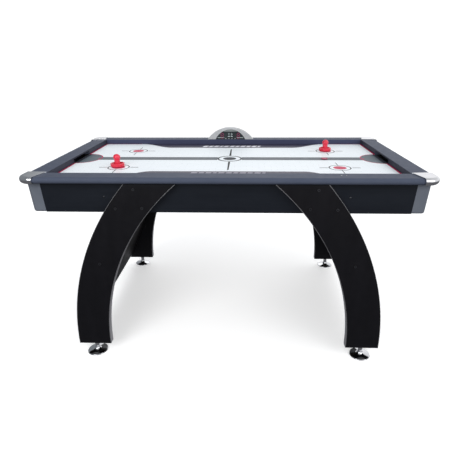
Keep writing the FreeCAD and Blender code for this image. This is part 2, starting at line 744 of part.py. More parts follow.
def arc_band(name, sign_x, inner, outer, y, thick, low, high):
    """A slab between two arcs about the leg's arc centre, cut off below and above."""
    centre = (f"{-sign_x} * arch_x", y, "arch_z")
    disc = rod(name + "_disc", centre, outer, thick, "Y")
    hole = rod(name + "_hole", centre, inner, thick, "Y")
    high_z = f"({high} - {low})"
    middle = (f"{sign_x} * arch_middle", f"{y} + {thick} / 2", f"{low} + {high_z} / 2")
    window = block(name + "_window", middle, ("arch_reach", thick, high_z))
    return common(name, [cut(name + "_ring", disc, [hole]), window])


def make_leg(side, end):
    sign, along = SIDES[side], ENDS[end]
    y = f"({sign} * {LEG_MIDDLE} - leg_thick / 2)"
    name = f"{side}_{end}"
    slab = arc_band(f"slab_{name}", along, "arch_inner", "arch_outer", y, "leg_thick",
                    "leg_bottom", "field_top")
    foot = (f"{along} * foot_x", f"{sign} * {LEG_MIDDLE}", "leg_bottom - over_cut")
    socket = rod(f"socket_{name}", foot, "insert_radius", "insert_depth + over_cut")
    holes = [rod(f"leg_hole_{name}_{index}", (f"{along} * {x}", f"{y} - over_cut", z), "bolt_hole",
                 "leg_thick + 2 * over_cut", "Y")
             for index, (x, z) in enumerate(leg_bolt_spots(True))]
    part(cut(f"leg_cut_{name}", slab, holes + [socket]), f"leg_{name}")


def make_leg_trim(side):
    """Bright strips along both curved edges of the two leg faces of one side."""
    sign = SIDES[side]
    face = f"({sign} * ({LEG_FACE} + trim_thick / 2) - trim_thick / 2)"
    edges = {"inner": ("arch_inner", "(arch_inner + trim_width)"),
             "outer": ("(arch_outer - trim_width)", "arch_outer")}
    strips = []
    for end, along in ENDS.items():
        for edge, (small, large) in edges.items():
            strips.append(arc_band(f"strip_{edge}_{side}_{end}", along, small, large, face,
                                   "trim_thick", "leg_bottom", "field_top"))
    part(group(f"strips_{side}", strips), f"leg_trim_{side}")


def make_end_panel(end):
    """Sloping board that ties the two legs of one end together."""
    sign = ENDS[end]
    thing = doc.addObject("Part::Box", f"{end}_panel_board")
    bind(thing, Length="board", Width="2 * apron_y", Height="panel_long")
    lean = FreeCAD.Rotation(FreeCAD.Vector(0, 1, 0), -sign * size("panel_lean"))
    thing.Placement = FreeCAD.Placement(ZERO, lean)
    sine = "sin(panel_lean * 1 deg)"
    cosine = "cos(panel_lean * 1 deg)"
    place(thing, (f"{sign} * panel_x - board / 2 * {cosine} + {sign} * panel_long / 2 * {sine}",
                  "-apron_y",
                  f"panel_z - panel_long / 2 * {cosine} - {sign} * board / 2 * {sine}"))
    part(thing, f"end_panel_{end}")


def make_leg_bolts():
    bolts = []
    grip = "(leg_thick + board + bolt_past)"
    for side, end in CORNERS:
        sign, along = SIDES[side], ENDS[end]
        for index, (x, z) in enumerate(leg_bolt_spots(True)):
            length = "bolt_low" if (x, z) == LOW_BOLT else grip
            if sign == FRONT:
                head_y, shank_y = f"-({LEG_FACE} + bolt_cap)", f"-{LEG_FACE}"
            else:
                head_y, shank_y = LEG_FACE, f"{LEG_FACE} - {length}"
            name = f"bolt_{side}_{end}_{index}"
            head = rod(name + "_head", (f"{along} * {x}", head_y, z), "bolt_head", "bolt_cap", "Y")
            shank = rod(name + "_shank", (f"{along} * {x}", shank_y, z), "bolt_radius", length, "Y")
            bolts.append(fuse(name, [head, shank]))
    part(group("bolts", bolts), "leg_bolts")


def make_levellers():
    inserts = []
    for side, end in CORNERS:
        x = f"{ENDS[end]} * foot_x"
        y = f"{SIDES[side]} * {LEG_MIDDLE}"
        name = f"{side}_{end}"
        outside = rod(f"insert_out_{name}", (x, y, "leg_bottom"), "insert_radius", "insert_depth")
        inside = rod(f"insert_in_{name}", (x, y, "leg_bottom - over_cut"),
                     "stem_radius + running_gap", "insert_depth + 2 * over_cut")
        inserts.append(cut(f"insert_{name}", outside, [inside]))
        body = revolve(f"leveller_{name}_body", [
            ("0", "0"), ("foot_radius - foot_edge", "0"), ("foot_radius", "foot_edge"),
            ("foot_radius", "foot_rim"), ("foot_waist", "foot_dome"), ("foot_waist", "foot_collar"),
            ("stem_radius", "foot_collar"), ("stem_radius", "stem_top - stem_tip"),
            ("stem_radius - stem_tip", "stem_top"), ("0", "stem_top")])
        fillet(body, "foot_flow", ring_edges("foot_waist", "foot_dome"))
        fillet(body, "foot_round", ring_edges("foot_radius", "foot_rim"))
        place(body, (x, y, "0"))
        part(body, f"leveller_{name}")
    part(group("inserts", inserts), "leveller_inserts")


# ---------------------------------------------------------------- blower

BLOWER_BOTTOM = f"({FLOOR_UNDERSIDE} - blower_height)"
GUARD_HOLES = 8
BLADES = 20


def make_blower():
    case = rod("blower_outside", ("0", "0", f"{BLOWER_BOTTOM} + guard_thick"), "blower_radius",
               "blower_height - guard_thick")
    inside = rod("blower_inside", ("0", "0", BLOWER_BOTTOM), "blower_radius - blower_wall",
                 "blower_height - blower_wall")
    outlet = rod("blower_outlet", ("outlet_x", "0", f"{FLOOR_UNDERSIDE} - blower_wall - over_cut"),
                 "outlet_radius", "blower_wall + 2 * over_cut")
    part(cut("blower_case", case, [inside, outlet]), "blower_case")

    disc = rod("guard_disc", ("0", "0", BLOWER_BOTTOM), "blower_radius", "guard_thick")
    holes = []
    for index in range(GUARD_HOLES):
        turn = f"({index} * 360 deg / {GUARD_HOLES})"
        centre = (f"guard_ring * cos({turn})", f"guard_ring * sin({turn})",
                  f"{BLOWER_BOTTOM} - over_cut")
        holes.append(rod(f"guard_hole_{index}", centre, "guard_hole", "guard_thick + 2 * over_cut"))
    part(cut("guard_plate", disc, holes), "blower_guard")

    motor_foot = f"({FLOOR_UNDERSIDE} - blower_wall - motor_height)"
    can = rod("motor_can", ("0", "0", motor_foot), "motor_radius", "motor_height")
    bore = rod("motor_bore", ("0", "0", f"{motor_foot} - over_cut"),
               "shaft_radius + running_gap", "motor_height - motor_cap + over_cut")
    part(cut("motor_with_bore", can, [bore]), "blower_motor")


def make_wheel():
    """Drum wheel: a bottom disc, a ring of blades, a top ring and the shaft."""
    low = f"({BLOWER_BOTTOM} + guard_thick + wheel_lift)"
    disc = rod("wheel_disc", ("0", "0", low), "wheel_radius", "wheel_plate")
    hub = rod("wheel_hub", ("0", "0", low), "hub_radius", "hub_high")
    shaft = rod("wheel_shaft", ("0", "0", low), "shaft_radius", "shaft_long")
    ring_out = rod("wheel_ring_out", ("0", "0", f"{low} + wheel_high - wheel_plate"),
                   "wheel_radius", "wheel_plate")
    ring_in = rod("wheel_ring_in", ("0", "0", f"{low} + wheel_high - wheel_plate - over_cut"),
                  "wheel_radius - wheel_blade", "wheel_plate + 2 * over_cut")
    ring = cut("wheel_ring", ring_out, [ring_in])
    blades = []
    for index in range(BLADES):
        turn = 360 / BLADES * index
        blade = doc.addObject("Part::Box", f"wheel_blade_{index}")
        bind(blade, Length="wheel_blade - 2 * blade_root", Width="blade_thick",
             Height="wheel_high - wheel_plate - 2 * blade_root")
        rotation = FreeCAD.Rotation(FreeCAD.Vector(0, 0, 1), turn)
        blade.Placement = FreeCAD.Placement(ZERO, rotation)
        reach = "(wheel_radius - wheel_blade + blade_root)"
        place(blade, (f"{reach} * cos({turn} deg)", f"{reach} * sin({turn} deg)",
                      f"{low} + wheel_plate - blade_root"))
        blades.append(blade)
    part(fuse("wheel", [disc, hub, shaft, ring] + blades), "blower_wheel")


# ---------------------------------------------------------------- scorer

def arch(name, half, high, front, depth):
    """The part of a round bar that stands above the rail: half width, height, depth."""
    radius = f"(({half}) ^ 2 + ({high}) ^ 2) / (2 * ({high}))"
    bar = rod(name + "_bar", ("score_x", front, f"{RAIL_TOP} + {high} - {radius}"), radius, depth, "Y")
    middle = ("score_x", f"{front} + {depth} / 2", f"{RAIL_TOP} + {high} / 2")
    window = block(name + "_window", middle, (f"2 * {radius}", depth, high))
    return common(name, [bar, window])


BUTTONS = 4


def button_spot(index):
    return (f"score_x + {index - (BUTTONS - 1) / 2} * button_pitch", f"{RAIL_TOP} + button_rise")


def make_scorer():
    outside = arch("score_outside", "score_half", "score_high", "score_front", "score_depth")
    inside = arch("score_inside", "window_half", "window_high", "(score_front - over_cut)",
                  "(score_depth + 2 * over_cut)")
    part(cut("score_arch", outside, [inside]), "scorer_frame")

    window = arch("score_window", "window_half", "window_high", "(score_front + window_set)",
                  "window_thick")
    holes = []
    for index in range(BUTTONS):
        x, z = button_spot(index)
        holes.append(rod(f"window_hole_{index}", (x, "score_front", z), "button_radius + button_gap",
                         "window_set + window_thick + over_cut", "Y"))
    part(cut("score_window_cut", window, holes), "scorer_window")
    back = arch("score_back", "window_half", "window_high",
                "(score_front + score_depth - score_back)", "score_back")
    part(back, "scorer_back")
    board_y = "score_front + window_set + window_thick + circuit_set + circuit_thick / 2"
    board = block("score_circuit", ("score_x", board_y, f"{RAIL_TOP} + circuit_rise"),
                  ("circuit_long", "circuit_thick", "circuit_high"))
    part(board, "scorer_board")

    for index in range(BUTTONS):
        x, z = button_spot(index)
        stem = rod(f"button_stem_{index}", (x, "score_front + window_set - button_proud", z),
                   "button_radius", "button_proud + window_thick + button_tail", "Y")
        flange_y = "score_front + window_set + window_thick + button_flange_gap"
        flange = rod(f"button_flange_{index}", (x, flange_y, z), "button_radius + button_flange",
                     "button_flange_thick", "Y")
        part(fuse(f"button_{index}", [stem, flange]), f"score_button_{index + 1}")


def make_controls():
    """Start button and power lamp let into the front rail."""
    button = rod("start_cap", ("control_x", "-control_y", f"{RAIL_TOP} + control_proud - control_long"),
                 "control_radius", "control_long")
    part(button, "start_button")
    lamp = rod("lamp_lens", ("control_x + lamp_offset", "-control_y", "field_top"),
               "lamp_radius", "rail_height + lamp_proud")
    part(lamp, "power_lamp")


# ---------------------------------------------------------------- power inlet

def make_inlet():
    """Socket with three pins and the well of the power rocker, let into the back board."""
    def well(name, offset, long, high):
        """A pocket that opens at the plate face."""
        deep = "(inlet_well_deep + inlet_plate_thick + over_cut)"
        middle = (f"inlet_x + {offset}", f"apron_y - inlet_well_deep + {deep} / 2", "inlet_z")
        return block(name, middle, (long, deep, high))

    plate = block("inlet_plate", ("inlet_x", "apron_y + inlet_plate_thick / 2", "inlet_z"),
                  ("inlet_plate_long", "inlet_plate_thick", "inlet_plate_high"))
    case = block("inlet_case", ("inlet_x", "apron_y - inlet_deep / 2", "inlet_z"),
                 ("inlet_hole_long - 2 * inlet_fit", "inlet_deep", "inlet_hole_high - 2 * inlet_fit"))
    socket = well("inlet_socket", "socket_offset", "socket_long", "socket_high")
    switch = well("inlet_well", "rocker_offset", "rocker_long + 2 * rocker_side_gap",
                  "rocker_high + 2 * rocker_end_gap")
    pins = []
    for step in (-1, 0, 1):
        middle = (f"inlet_x + socket_offset + {step} * pin_pitch",
                  "apron_y - (inlet_well_deep + over_cut) / 2", "inlet_z")
        pins.append(block(f"inlet_pin_{step + 2}", middle,
                          ("pin_wide", "inlet_well_deep + over_cut", "pin_high")))
    hollow = cut("inlet_hollow", fuse("inlet_solid", [plate, case]), [socket, switch])
    part(fuse("inlet", [hollow] + pins), "power_inlet")
    rocker = block("rocker", ("inlet_x + rocker_offset", "apron_y + rocker_proud - rocker_deep / 2",
                              "inlet_z"), ("rocker_long", "rocker_deep", "rocker_high"))
    part(rocker, "power_rocker")


# ---------------------------------------------------------------- loose pieces

def make_pusher(end):
    """Grooved base with a sunk floor, and a domed handle on a waisted neck."""
    knob_z = "(pusher_height - pusher_knob)"
    groove = "pusher_radius - pusher_groove"
    x, y = f"pusher_{end}_x", f"pusher_{end}_y"
    body = revolve(f"pusher_{end}_body", [
        ("0", "0"), ("pusher_radius", "0"), ("pusher_radius", "groove_low"),
        (groove, "groove_low + groove_side"), (groove, "groove_high - groove_side"),
        ("pusher_radius", "groove_high"), ("pusher_radius", "pusher_rim"),
        ("pusher_radius - pusher_lip", "pusher_rim"),
        ("pusher_radius - pusher_lip - pusher_slope", "pusher_well"),
        ("pusher_neck", "pusher_well"), ("pusher_neck", f"{knob_z} - pusher_taper"),
        ("pusher_knob", knob_z), ("pusher_knob", "pusher_height"), ("0", "pusher_height")])
    fillet(body, "pusher_dome", ring_edges("pusher_knob", "pusher_height"))
    fillet(body, "pusher_round", ring_edges("pusher_radius", "pusher_rim"))
    fillet(body, "pusher_round", ring_edges("pusher_radius - pusher_lip", "pusher_rim"))
    fillet(body, "pusher_round", ring_edges("pusher_neck", "pusher_well"))
    fillet(body, "pusher_edge", ring_edges("pusher_radius", "0"))
    place(body, (x, y, "field_top + float_gap + pad_thick"))
    part(body, f"pusher_{end}")
    pad_disc = rod(f"pad_{end}", (x, y, "field_top + float_gap"), "pad_radius", "pad_thick")
    part(pad_disc, f"pusher_pad_{end}")


def make_puck():
    body = revolve("puck_body", [
        ("0", "0"), ("puck_radius - puck_edge", "0"), ("puck_radius", "puck_edge"),
        ("puck_radius", "puck_thick - puck_edge"), ("puck_radius - puck_edge", "puck_thick"),
        ("puck_radius - puck_rim", "puck_thick"),
        ("puck_radius - puck_rim - puck_dish", "puck_thick - puck_dish"),
        ("0", "puck_thick - puck_dish")])
    place(body, ("puck_x", "puck_y", "field_top + float_gap"))
    part(body, "puck")


# ---------------------------------------------------------------- build, check and write

def check_and_write():
    doc.recompute()
    for thing in doc.Objects:
        if any(word in thing.State for word in ("Invalid", "Error")):
            raise RuntimeError(f"{thing.Name} ({thing.Label}) did not recompute: {thing.State}")
    for thing in parts:
        shape = thing.Shape
        if shape.isNull() or not shape.isValid() or not shape.Solids:
            raise RuntimeError(f"{thing.Label} has no valid solid")
        shape.exportStep(f"parts/{thing.Label}.step")


make_playfield()
make_chamber()
make_glue_blocks()
make_side_aprons()
make_end_aprons()
for side_name, end_name in CORNERS:
    make_corner_apron(side_name, end_name)
    make_corner_cap(side_name, end_name)
    make_leg(side_name, end_name)
for side_name in SIDES:
    make_side_rail(side_name)
    make_leg_trim(side_name)
for end_name in ENDS:
    make_end_rail(end_name)
    make_goal_tray(end_name)
    make_end_panel(end_name)
    make_pusher(end_name)
make_leg_bolts()
make_levellers()
make_blower()
make_wheel()
make_scorer()
make_controls()
make_inlet()
make_puck()
check_and_write()
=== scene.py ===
"""Looks of the air hockey table: materials, printed field, scorer display, small fittings.

Metres, in the CAD frame: +X along the table, +Y to the scorer side, +Z up.
"""
import json
import math

import bpy
from mathutils import Matrix, Vector


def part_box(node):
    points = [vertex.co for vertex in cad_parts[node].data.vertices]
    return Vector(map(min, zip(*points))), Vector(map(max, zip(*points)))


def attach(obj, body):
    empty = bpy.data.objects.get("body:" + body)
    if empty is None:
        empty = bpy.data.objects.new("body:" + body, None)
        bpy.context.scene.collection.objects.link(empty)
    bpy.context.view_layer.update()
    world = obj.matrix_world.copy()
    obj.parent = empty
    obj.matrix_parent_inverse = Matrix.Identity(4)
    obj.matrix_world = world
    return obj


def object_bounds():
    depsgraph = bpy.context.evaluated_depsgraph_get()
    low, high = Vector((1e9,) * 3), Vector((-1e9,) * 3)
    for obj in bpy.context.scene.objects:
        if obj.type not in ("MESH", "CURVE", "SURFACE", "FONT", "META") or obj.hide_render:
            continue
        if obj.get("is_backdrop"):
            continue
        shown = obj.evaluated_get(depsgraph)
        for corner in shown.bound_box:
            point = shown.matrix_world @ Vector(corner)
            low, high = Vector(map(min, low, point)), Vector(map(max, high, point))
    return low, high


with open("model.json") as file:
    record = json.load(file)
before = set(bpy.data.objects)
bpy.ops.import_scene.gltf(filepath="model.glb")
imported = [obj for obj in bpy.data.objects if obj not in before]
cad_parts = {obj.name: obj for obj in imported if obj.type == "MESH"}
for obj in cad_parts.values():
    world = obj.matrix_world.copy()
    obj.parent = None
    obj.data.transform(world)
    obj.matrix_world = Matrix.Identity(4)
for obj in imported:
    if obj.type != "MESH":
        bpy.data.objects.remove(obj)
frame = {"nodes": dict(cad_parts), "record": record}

SIDES = {"front": -1, "back": 1}
ENDS = {"left": -1, "right": 1}


def save_size(key, sizes):
    """Keep the bounds of the shown objects in the sizes, under the key."""
    low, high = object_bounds()
    sizes[key] = [list(low), list(high)]


SIZES = {}
save_size("start", SIZES)


# ---------------------------------------------------------------- places taken from the frame

FIELD_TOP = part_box("playfield")[1].z
FIELD_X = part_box("right_rail")[0].x    # half the length of the field, between the end rails
FIELD_Y = -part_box("front_rail")[1].y   # half its width, between the long rails
RAIL_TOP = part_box("front_rail")[1].z
APRON_FACE = -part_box("front_apron")[0].y
BOLT_FACE = -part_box("leg_bolts")[0].y
WINDOW_LOW, WINDOW_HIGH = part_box("scorer_window")


# ---------------------------------------------------------------- shader nodes

class Graph:
    """The nodes of a material or world, with a short call for each kind that is used here."""

    def __init__(self, tree):
        self.tree = tree

    def feed(self, socket, value):
        """Link another node's output to the socket, or set its number, vector or colour."""
        if isinstance(value, bpy.types.NodeSocket):
            self.tree.links.new(value, socket)
        elif socket.type == "RGBA":
            socket.default_value = (*value, 1)
        else:
            socket.default_value = value

    def add(self, kind, inputs):
        """A new shader node with these inputs."""
        node = self.tree.nodes.new("ShaderNode" + kind)
        for name, value in inputs.items():
            self.feed(node.inputs[name], value)
        return node

    def tone(self, source, dark, light, between=(0.3, 0.7)):
        """A colour that goes from dark to light as the source passes through a range."""
        node = self.add("ValToRGB", {"Fac": source})
        for element, position, colour in zip(node.color_ramp.elements, between, (dark, light)):
            element.position = position
            element.color = (*colour, 1)
        return node.outputs["Color"]

    def span(self, source, low, high, between=(0.3, 0.7)):
        """A number that goes from low to high as the source passes through a range."""
        node = self.add("MapRange", {"Value": source, "From Min": between[0],
                                     "From Max": between[1], "To Min": low, "To Max": high})
        return node.outputs["Result"]

    def compute(self, operation, *values):
        """The result of a Math node."""
        node = self.add("Math", {})
        node.operation = operation
        for socket, value in zip(node.inputs, values):
            self.feed(socket, value)
        return node.outputs["Value"]

    def mix(self, factor, first, second):
        """The first colour where the factor is 0 and the second where it is 1."""
        node = self.add("Mix", {"Factor": factor})
        node.data_type = "RGBA"
        sockets = {socket.identifier: socket for socket in [*node.inputs, *node.outputs]}
        self.feed(sockets["A_Color"], first)
        self.feed(sockets["B_Color"], second)
        return sockets["Result_Color"]

    def split(self, vector):
        """The outputs X, Y and Z of a vector."""
        return self.add("SeparateXYZ", {"Vector": vector}).outputs


class Surface(Graph):
    """A material, with nodes in object space that feed its shader."""

    def __init__(self, name):
        self.material = bpy.data.materials.new(name)
        self.material.use_nodes = True
        super().__init__(self.material.node_tree)
        self.shader = self.tree.nodes["Principled BSDF"]
        coordinates = self.add("TexCoord", {})
        self.place = coordinates.outputs["Object"]
        self.normal = coordinates.outputs["Normal"]

    def shade(self, inputs):
        """Feed the shader's own sockets."""
        for name, value in inputs.items():
            self.feed(self.shader.inputs[name], value)

    def colour(self):
        """The output that feeds the base colour now."""
        return self.shader.inputs["Base Color"].links[0].from_socket

    def noise(self, scale, detail=3.0, rough=0.55, stretch=None):
        """Noise in object space. A stretch above 1 makes it finer along that axis."""
        place = self.place
        if stretch:
            place = self.add("Mapping", {"Vector": place, "Scale": stretch}).outputs["Vector"]
        node = self.add("TexNoise", {"Vector": place, "Scale": scale, "Detail": detail,
                                     "Roughness": rough})
        return node.outputs["Fac"]

    def relief(self, height, strength, distance, edge=0.0):
        """Fine relief, over edges softened by a small bevel."""
        bump = self.add("Bump", {"Height": height, "Strength": strength, "Distance": distance})
        if edge:
            bevel = self.add("Bevel", {"Radius": edge})
            bevel.samples = 4
            self.feed(bump.inputs["Normal"], bevel.outputs["Normal"])
        self.shade({"Normal": bump.outputs["Normal"]})

    def paint_edges(self, flat_axes, limit, colour):
        """Another colour on the faces that look along none of the flat axes."""
        facing = self.split(self.normal)
        square = self.compute("ABSOLUTE", facing[flat_axes[0]])
        for axis in flat_axes[1:]:
            square = self.compute("MAXIMUM", square, self.compute("ABSOLUTE", facing[axis]))
        edge = self.compute("LESS_THAN", square, limit)
        self.shade({"Base Color": self.mix(edge, self.colour(), colour)})


# ---------------------------------------------------------------- kinds of material

def laminate(name, dark, light, rough, grain=(3, 3, 3), pebble=900.0, relief=0.12,
             shine=0.3, edge=0.0006):
    """Vinyl or melamine over board: cloudy tone, faint grain and a fine pebble."""
    surface = Surface(name)
    clouds = surface.noise(6.0, detail=4.0, rough=0.6, stretch=grain)
    surface.shade({"Base Color": surface.tone(clouds, dark, light),
                   "Roughness": surface.span(surface.noise(40.0), *rough),
                   "Specular IOR Level": shine})
    surface.relief(surface.noise(pebble, detail=2.0), relief, 0.0003, edge)
    return surface


def ink(name, dark, light, shine=0.12):
    """Ink printed on the field."""
    return laminate(name, dark, light, rough=(0.34, 0.42), relief=0.01, shine=shine, edge=0)


def plastic(name, dark, light, rough=(0.25, 0.35), relief=0.05, coat=0.3):
    """Moulded plastic with faint flow marks."""
    surface = Surface(name)
    flow = surface.noise(25.0)
    surface.shade({"Base Color": surface.tone(flow, dark, light, between=(0.35, 0.65)),
                   "Roughness": surface.span(surface.noise(160.0), *rough),
                   "Coat Weight": coat, "Coat Roughness": 0.08})
    surface.relief(surface.noise(1400.0, detail=2.0), relief, 0.0002, edge=0.0004)
    return surface


def metal(name, dark, light, rough, brush=None, relief=0.02):
    """Plated or brushed metal with light smudges."""
    surface = Surface(name)
    smudge = surface.noise(18.0, detail=4.0)
    surface.shade({"Base Color": surface.tone(smudge, dark, light),
                   "Roughness": surface.span(surface.noise(60.0), *rough),
                   "Metallic": 1.0})
    lines = surface.noise(700.0, detail=2.0, stretch=brush)
    surface.relief(lines, relief, 0.0002, edge=0.0005)
    return surface


def fibreboard(name, dark, light):
    """Raw board: fibres that lie along the table."""
    surface = Surface(name)
    fibres = surface.noise(160.0, detail=5.0, rough=0.7, stretch=(1, 5, 1))
    surface.shade({"Base Color": surface.tone(fibres, dark, light), "Roughness": 0.85})
    surface.relief(fibres, 0.4, 0.0006, edge=0.0004)
    return surface


def felt(name, dark, light):
    """Short dense fuzz."""
    surface = Surface(name)
    fuzz = surface.noise(1800.0, detail=4.0, rough=0.7)
    surface.shade({"Base Color": surface.tone(fuzz, dark, light), "Roughness": 0.95,
                   "Sheen Weight": 0.5})
    surface.relief(fuzz, 0.6, 0.0005)
    return surface


def glowing(name, colour, strength):
    """A lit display segment, a little uneven."""
    surface = Surface(name)
    dim = tuple(channel * 0.7 for channel in colour)
    tone = surface.tone(surface.noise(300.0), dim, colour)
    surface.shade({"Base Color": tone, "Emission Color": tone, "Emission Strength": strength,
                   "Roughness": 0.4})
    return surface


# ---------------------------------------------------------------- materials of this table

WALL_NAVY = (0.052, 0.058, 0.104)
WALL_SLATE = (0.037, 0.040, 0.057)
WALL_SKIN = 0.0012                     # how far a wall's colour reaches past its face
END_WALL_X = FIELD_X - 0.002           # from here on a wall belongs to an end rail
EDGE_SILVER = (0.34, 0.34, 0.36)
# Field board edge: dark paint, made near black as painted shade for the goal notch.
EDGE_DARK_AND_SHADE = (0.030, 0.030, 0.034)


def rail_vinyl():
    """Slate top and nose. The walls round the field are darker, bluer on the long sides."""
    surface = laminate("rail_vinyl", (0.069, 0.082, 0.119), (0.076, 0.089, 0.128),
                       rough=(0.36, 0.44), relief=0.10, shine=0.03, edge=0.0008)
    place = surface.split(surface.place)
    along = surface.compute("ABSOLUTE", place["X"])
    across = surface.compute("ABSOLUTE", place["Y"])
    beyond = surface.compute("MAXIMUM", surface.compute("SUBTRACT", along, FIELD_X + WALL_SKIN),
                          surface.compute("SUBTRACT", across, FIELD_Y + WALL_SKIN))
    outside = surface.compute("GREATER_THAN", beyond, 0.0)
    at_end = surface.compute("GREATER_THAN", along, END_WALL_X)
    wall = surface.mix(at_end, WALL_NAVY, WALL_SLATE)
    surface.shade({"Base Color": surface.mix(outside, wall, surface.colour())})
    return surface


def leg_board():
    """Black laminate faces, with a silver moulding round the edge of the board."""
    surface = laminate("leg_black", (0.0030, 0.0029, 0.0042), (0.0050, 0.0048, 0.0068),
                       grain=(4, 4, 0.8), rough=(0.36, 0.46), shine=0.2)
    surface.paint_edges("YZ", 0.96, EDGE_SILVER)
    return surface


def field_board():
    """White laminate on the flat faces. The cut edges get near black paint, darker than raw
    board, which also stands in for the shade on them in the goal notch.
    """
    surface = laminate("field_white", (0.86, 0.915, 0.955), (0.89, 0.94, 0.975), grain=None,
                       rough=(0.34, 0.42), pebble=300.0, relief=0.01, shine=0.15)
    surface.paint_edges("Z", 0.7, EDGE_DARK_AND_SHADE)
    return surface


SURFACES = {
    "rail": rail_vinyl(),
    "leg": leg_board(),
    "panel": laminate("panel_black", (0.0030, 0.0028, 0.0034), (0.0052, 0.0048, 0.0058),
                      grain=(4, 4, 0.8), rough=(0.40, 0.50), shine=0.2),
    "apron": laminate("apron_black", (0.0070, 0.0090, 0.0135), (0.0100, 0.0125, 0.0180),
                      grain=(0.6, 6, 6), rough=(0.36, 0.46), shine=0.15),
    "corner": laminate("corner_grey", (0.115, 0.130, 0.158), (0.135, 0.150, 0.180),
                       rough=(0.30, 0.38), relief=0.05),
    "field": field_board(),
    "ink_slate": ink("ink_slate", (0.105, 0.123, 0.142), (0.120, 0.138, 0.158), shine=0.08),
    "ink_crease": ink("ink_crease", (0.090, 0.116, 0.138), (0.103, 0.130, 0.154), shine=0.08),
    # Near black standing in for the shade of the goal slot at each mouth: painted shade.
    "ink_slot_shade": ink("ink_slot_shade", (0.030, 0.034, 0.046), (0.038, 0.042, 0.055), shine=0.05),
    "ink_ring": ink("ink_ring", (0.036, 0.040, 0.050), (0.045, 0.050, 0.062), shine=0.05),
    "ink_navy": ink("ink_navy", (0.034, 0.032, 0.062), (0.042, 0.040, 0.072), shine=0.18),
    # Dark ink for the ticks and face-off rings. The same near black is the painted shade of the
    # air holes and bolt sockets.
    "dark_ink_and_hole_shade": ink("dark_ink_and_hole_shade", (0.008, 0.009, 0.012), (0.012, 0.013, 0.017), shine=0.05),
    "ink_red": ink("ink_red", (0.55, 0.035, 0.095), (0.62, 0.048, 0.115), shine=0.08),
    "ink_crimson": ink("ink_crimson", (0.46, 0.010, 0.075), (0.54, 0.016, 0.095), shine=0.05),
    "ink_plum": ink("ink_plum", (0.060, 0.014, 0.070), (0.080, 0.020, 0.090), shine=0.05),
    "ink_white": ink("ink_white", (0.91, 0.91, 0.97), (0.95, 0.95, 1.0)),
    "ink_pale": ink("ink_pale", (0.36, 0.34, 0.40), (0.46, 0.43, 0.50)),
    "chrome": metal("chrome", (0.60, 0.61, 0.63), (0.73, 0.73, 0.75), rough=(0.05, 0.10)),
    "silver": metal("silver_strip", (0.30, 0.30, 0.31), (0.38, 0.38, 0.39), rough=(0.26, 0.36),
                    brush=(1, 1, 0.05), relief=0.06),
    "steel": metal("zinc_steel", (0.40, 0.41, 0.43), (0.55, 0.56, 0.58), rough=(0.25, 0.38)),
    "brass": metal("brass", (0.55, 0.38, 0.14), (0.68, 0.50, 0.22), rough=(0.20, 0.30)),
    "bolt": metal("bolt_black", (0.045, 0.045, 0.050), (0.070, 0.070, 0.078), rough=(0.34, 0.46)),
    "board": fibreboard("raw_board", (0.20, 0.13, 0.075), (0.36, 0.25, 0.15)),
    "scorer": plastic("scorer_silver", (0.39, 0.40, 0.41), (0.46, 0.47, 0.48),
                      rough=(0.28, 0.36), coat=0.2),
    "window": plastic("scorer_window", (0.004, 0.010, 0.012), (0.007, 0.014, 0.017),
                      rough=(0.14, 0.20), relief=0.01, coat=0.1),
    "circuit": plastic("circuit_green", (0.010, 0.10, 0.035), (0.020, 0.15, 0.055)),
    "black": plastic("black_plastic", (0.008, 0.008, 0.010), (0.014, 0.014, 0.016),
                     rough=(0.35, 0.5), relief=0.15, coat=0.0),
    "score_button": plastic("button_white", (0.34, 0.35, 0.36), (0.42, 0.43, 0.44)),
    "start_button": plastic("start_button", (0.24, 0.25, 0.26), (0.30, 0.31, 0.32)),
    "lamp": glowing("lamp_lens", (0.30, 0.29, 0.26), 0.12),
    "rocker": plastic("rocker_red", (0.42, 0.010, 0.014), (0.52, 0.018, 0.022)),
    "pusher": plastic("pusher_red", (0.66, 0.020, 0.052), (0.74, 0.030, 0.068),
                      rough=(0.28, 0.36), coat=0.15),
    "puck": plastic("puck_red", (0.30, 0.014, 0.070), (0.38, 0.022, 0.090), coat=0.0),
    "felt": felt("pad_felt", (0.03, 0.03, 0.035), (0.07, 0.07, 0.075)),
    "digit_red": glowing("digit_red", (0.15, 0.009, 0.050), 0.75),
    "digit_white": glowing("digit_white", (0.42, 0.48, 0.49), 0.6),
    # The grey band at the top of the window glows though nothing in it is lit: painted light.
    "painted_light_band": glowing("painted_light_band", (0.20, 0.22, 0.22), 0.15),
}
SLOT_SURFACE = {
    "rail_laminate": "rail", "apron_laminate": "apron", "corner_silver": "corner",
    "cap_chrome": "chrome", "field_laminate": "field", "raw_board": "board",
    "leg_laminate": "leg", "trim_silver": "silver", "foot_chrome": "chrome",
    "bolt_black": "bolt", "insert_brass": "brass", "black_plastic": "black",
    "motor_steel": "steel", "scorer_silver": "scorer", "scorer_glass": "window",
    "circuit_green": "circuit", "button_white": "score_button", "start_white": "start_button",
    "lamp_clear": "lamp", "rocker_red": "rocker", "pusher_red": "pusher",
    "pad_felt": "felt", "puck_red": "puck",
}


def dress_frame():
    """Give each CAD node the surface of its slot. The end panels have no silver edge."""
    for entry in frame["record"]["subparts"]:
        node = entry["node"]
        key = "panel" if node.startswith("end_panel") else SLOT_SURFACE[entry["material_slot"]]
        mesh = frame["nodes"][node].data
        mesh.materials.clear()
        mesh.materials.append(SURFACES[key].material)


# ---------------------------------------------------------------- new pieces

